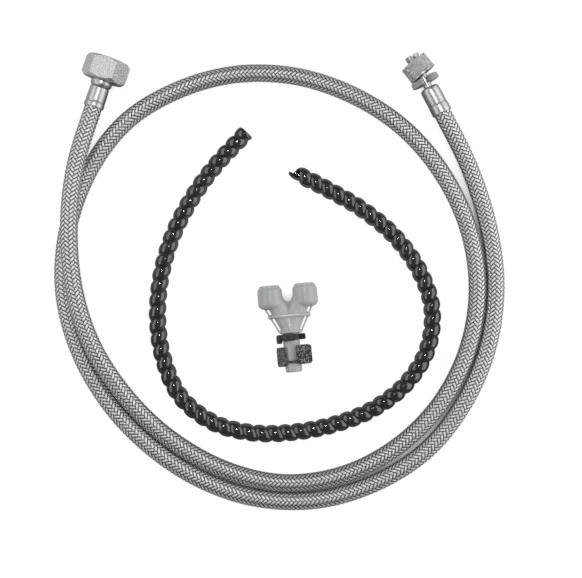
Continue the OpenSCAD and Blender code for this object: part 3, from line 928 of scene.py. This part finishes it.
def floor_material():
    """A pale floor: a diffuse surface under lamps that also shines, as far as it is open to the
    sky, so that its glow carries painted shade. The camera sees it dark only in deep gaps, and
    gloss and clear plastic see it dimmer, with a painted shadow that makes it darker close to the
    pieces."""
    made = bpy.data.materials.new("pale_floor")
    made.use_nodes = True
    tree = made.node_tree
    tree.nodes.clear()
    path = add(tree, "ShaderNodeLightPath")
    open_sky = add(tree, "ShaderNodeAmbientOcclusion", samples=16)
    open_sky.inputs["Distance"].default_value = 0.045

    def shine_for(ray, low, high, level):
        ramp = add(tree, "ShaderNodeMapRange")
        feed(tree, ramp.inputs["Value"], open_sky.outputs["AO"])
        ramp.inputs["From Min"].default_value = low
        ramp.inputs["From Max"].default_value = high
        ramp.inputs["To Max"].default_value = level
        return maths(tree, "MULTIPLY", ray, ramp.outputs["Result"])

    mirrored = maths(tree, "MAXIMUM", path.outputs["Is Glossy Ray"],
                     path.outputs["Is Transmission Ray"])
    seen = maths(tree, "MAXIMUM", path.outputs["Is Camera Ray"], mirrored)
    shine = add(tree, "ShaderNodeEmission")
    # painted shade: the glow falls with the occlusion, dark in deep gaps for the camera and
    # darker near the pieces in reflections
    feed(tree, shine.inputs["Strength"],
         maths(tree, "ADD", shine_for(path.outputs["Is Camera Ray"], 0.06, 0.34, 1.07),
               shine_for(mirrored, 0.45, 1.0, 0.55)))
    matt = add(tree, "ShaderNodeBsdfDiffuse")
    matt.inputs["Color"].default_value = (0.85, 0.85, 0.85, 1.0)
    both = add(tree, "ShaderNodeMixShader")
    feed(tree, both.inputs["Fac"], maths(tree, "MULTIPLY", seen, 0.9))
    feed(tree, both.inputs[1], matt.outputs[0])
    feed(tree, both.inputs[2], shine.outputs[0])
    output = add(tree, "ShaderNodeOutputMaterial")
    feed(tree, output.inputs["Surface"], both.outputs[0])
    return made


def studio_world():
    """A dim even room that the camera sees as white."""
    world = bpy.data.worlds.new("studio")
    bpy.context.scene.world = world
    world.use_nodes = True
    tree = world.node_tree
    back = tree.nodes["Background"]
    path = add(tree, "ShaderNodeLightPath")
    level = add(tree, "ShaderNodeMix", data_type="FLOAT")
    feed(tree, level.inputs["Factor"], path.outputs["Is Camera Ray"])
    level.inputs[2].default_value = 0.075
    level.inputs[3].default_value = 1.0
    back.inputs["Color"].default_value = (1.0, 1.0, 1.0, 1.0)
    feed(tree, back.inputs["Strength"], level.outputs[0])


def straight_down_camera(kit):
    data = bpy.data.cameras.new("camera")
    data.sensor_fit = "HORIZONTAL"
    data.sensor_width = 36.0
    data.lens = data.sensor_width * (kit.camera_height - HOSE_AXIS) / kit.view_width
    data.clip_end = 20.0
    camera = bpy.data.objects.new("camera", data)
    camera.location = (kit.camera_x, kit.camera_y, kit.camera_height)
    bpy.context.scene.collection.objects.link(camera)
    bpy.context.scene.camera = camera


class HOSEKIT_OT_stage(bpy.types.Operator):
    """Sets the camera, the floor, the room and the lamps"""
    bl_idname = "hosekit.stage"
    bl_label = "Studio"

    def execute(self, context):
        straight_down_camera(context.scene.hose_kit_stage)
        context.scene.view_settings.view_transform = "Standard"
        studio_world()
        half, level = 3.0, CAD_BOX[0][2] - 0.05 * MM
        corners = np.array([(-half, -half, level), (half, -half, level), (half, half, level),
                            (-half, half, level)])
        floor = new_piece("floor", corners, [np.array([[0, 1, 2, 3]])], floor_material(), False)
        area_light("left_box", (-0.9, 0.1, 0.65), (0, 0, 0), (0.7, 2.0), 1.3)
        area_light("right_box", (1.0, 0.1, 0.52), (0, 0, 0), (0.95, 2.0), 1.6)
        area_light("high_lamp", (0.0, 0.3, 1.28), (0, 0, 0), (0.05, 0.05), 500.0)
        return {"FINISHED"}


# ---- add-on ------------------------------------------------------------------------------------

class HOSEKIT_PT_panel(bpy.types.Panel):
    bl_idname = "HOSEKIT_PT_panel"
    bl_label = "Hose Kit"
    bl_space_type = "VIEW_3D"
    bl_region_type = "UI"
    bl_category = "Hose Kit"

    def draw(self, context):
        for operator in OPERATORS:
            self.layout.operator(operator.bl_idname)
        for name, group in SETTINGS.items():
            box = self.layout.box()
            settings = getattr(context.scene, name)
            for key in group.__annotations__:
                box.prop(settings, key)


OPERATORS = (HOSEKIT_OT_stage, HOSEKIT_OT_hose, HOSEKIT_OT_guard, HOSEKIT_OT_large_end,
             HOSEKIT_OT_small_end, HOSEKIT_OT_y_piece, HOSEKIT_OT_clips)
SETTINGS = {"hose_kit_braid": BraidSettings, "hose_kit_guard": GuardSettings,
            "hose_kit_fittings": FittingSettings, "hose_kit_y_piece": YPieceSettings,
            "hose_kit_stage": StageSettings}


def register():
    for group in SETTINGS.values():
        bpy.utils.register_class(group)
    for name, group in SETTINGS.items():
        setattr(bpy.types.Scene, name, bpy.props.PointerProperty(type=group))
    for made in (*OPERATORS, HOSEKIT_PT_panel):
        bpy.utils.register_class(made)


def unregister():
    for made in (HOSEKIT_PT_panel, *reversed(OPERATORS)):
        bpy.utils.unregister_class(made)
    for name, group in SETTINGS.items():
        delattr(bpy.types.Scene, name)
        bpy.utils.unregister_class(group)


def main():
    """Registers the add-on and makes every piece in order."""
    register()
    bpy.ops.hosekit.stage()
    bpy.ops.hosekit.hose()
    bpy.ops.hosekit.guard()
    bpy.ops.hosekit.large_end()
    bpy.ops.hosekit.small_end()
    bpy.ops.hosekit.y_piece()
    bpy.ops.hosekit.clips()


if __name__ == "__main__":
    main()
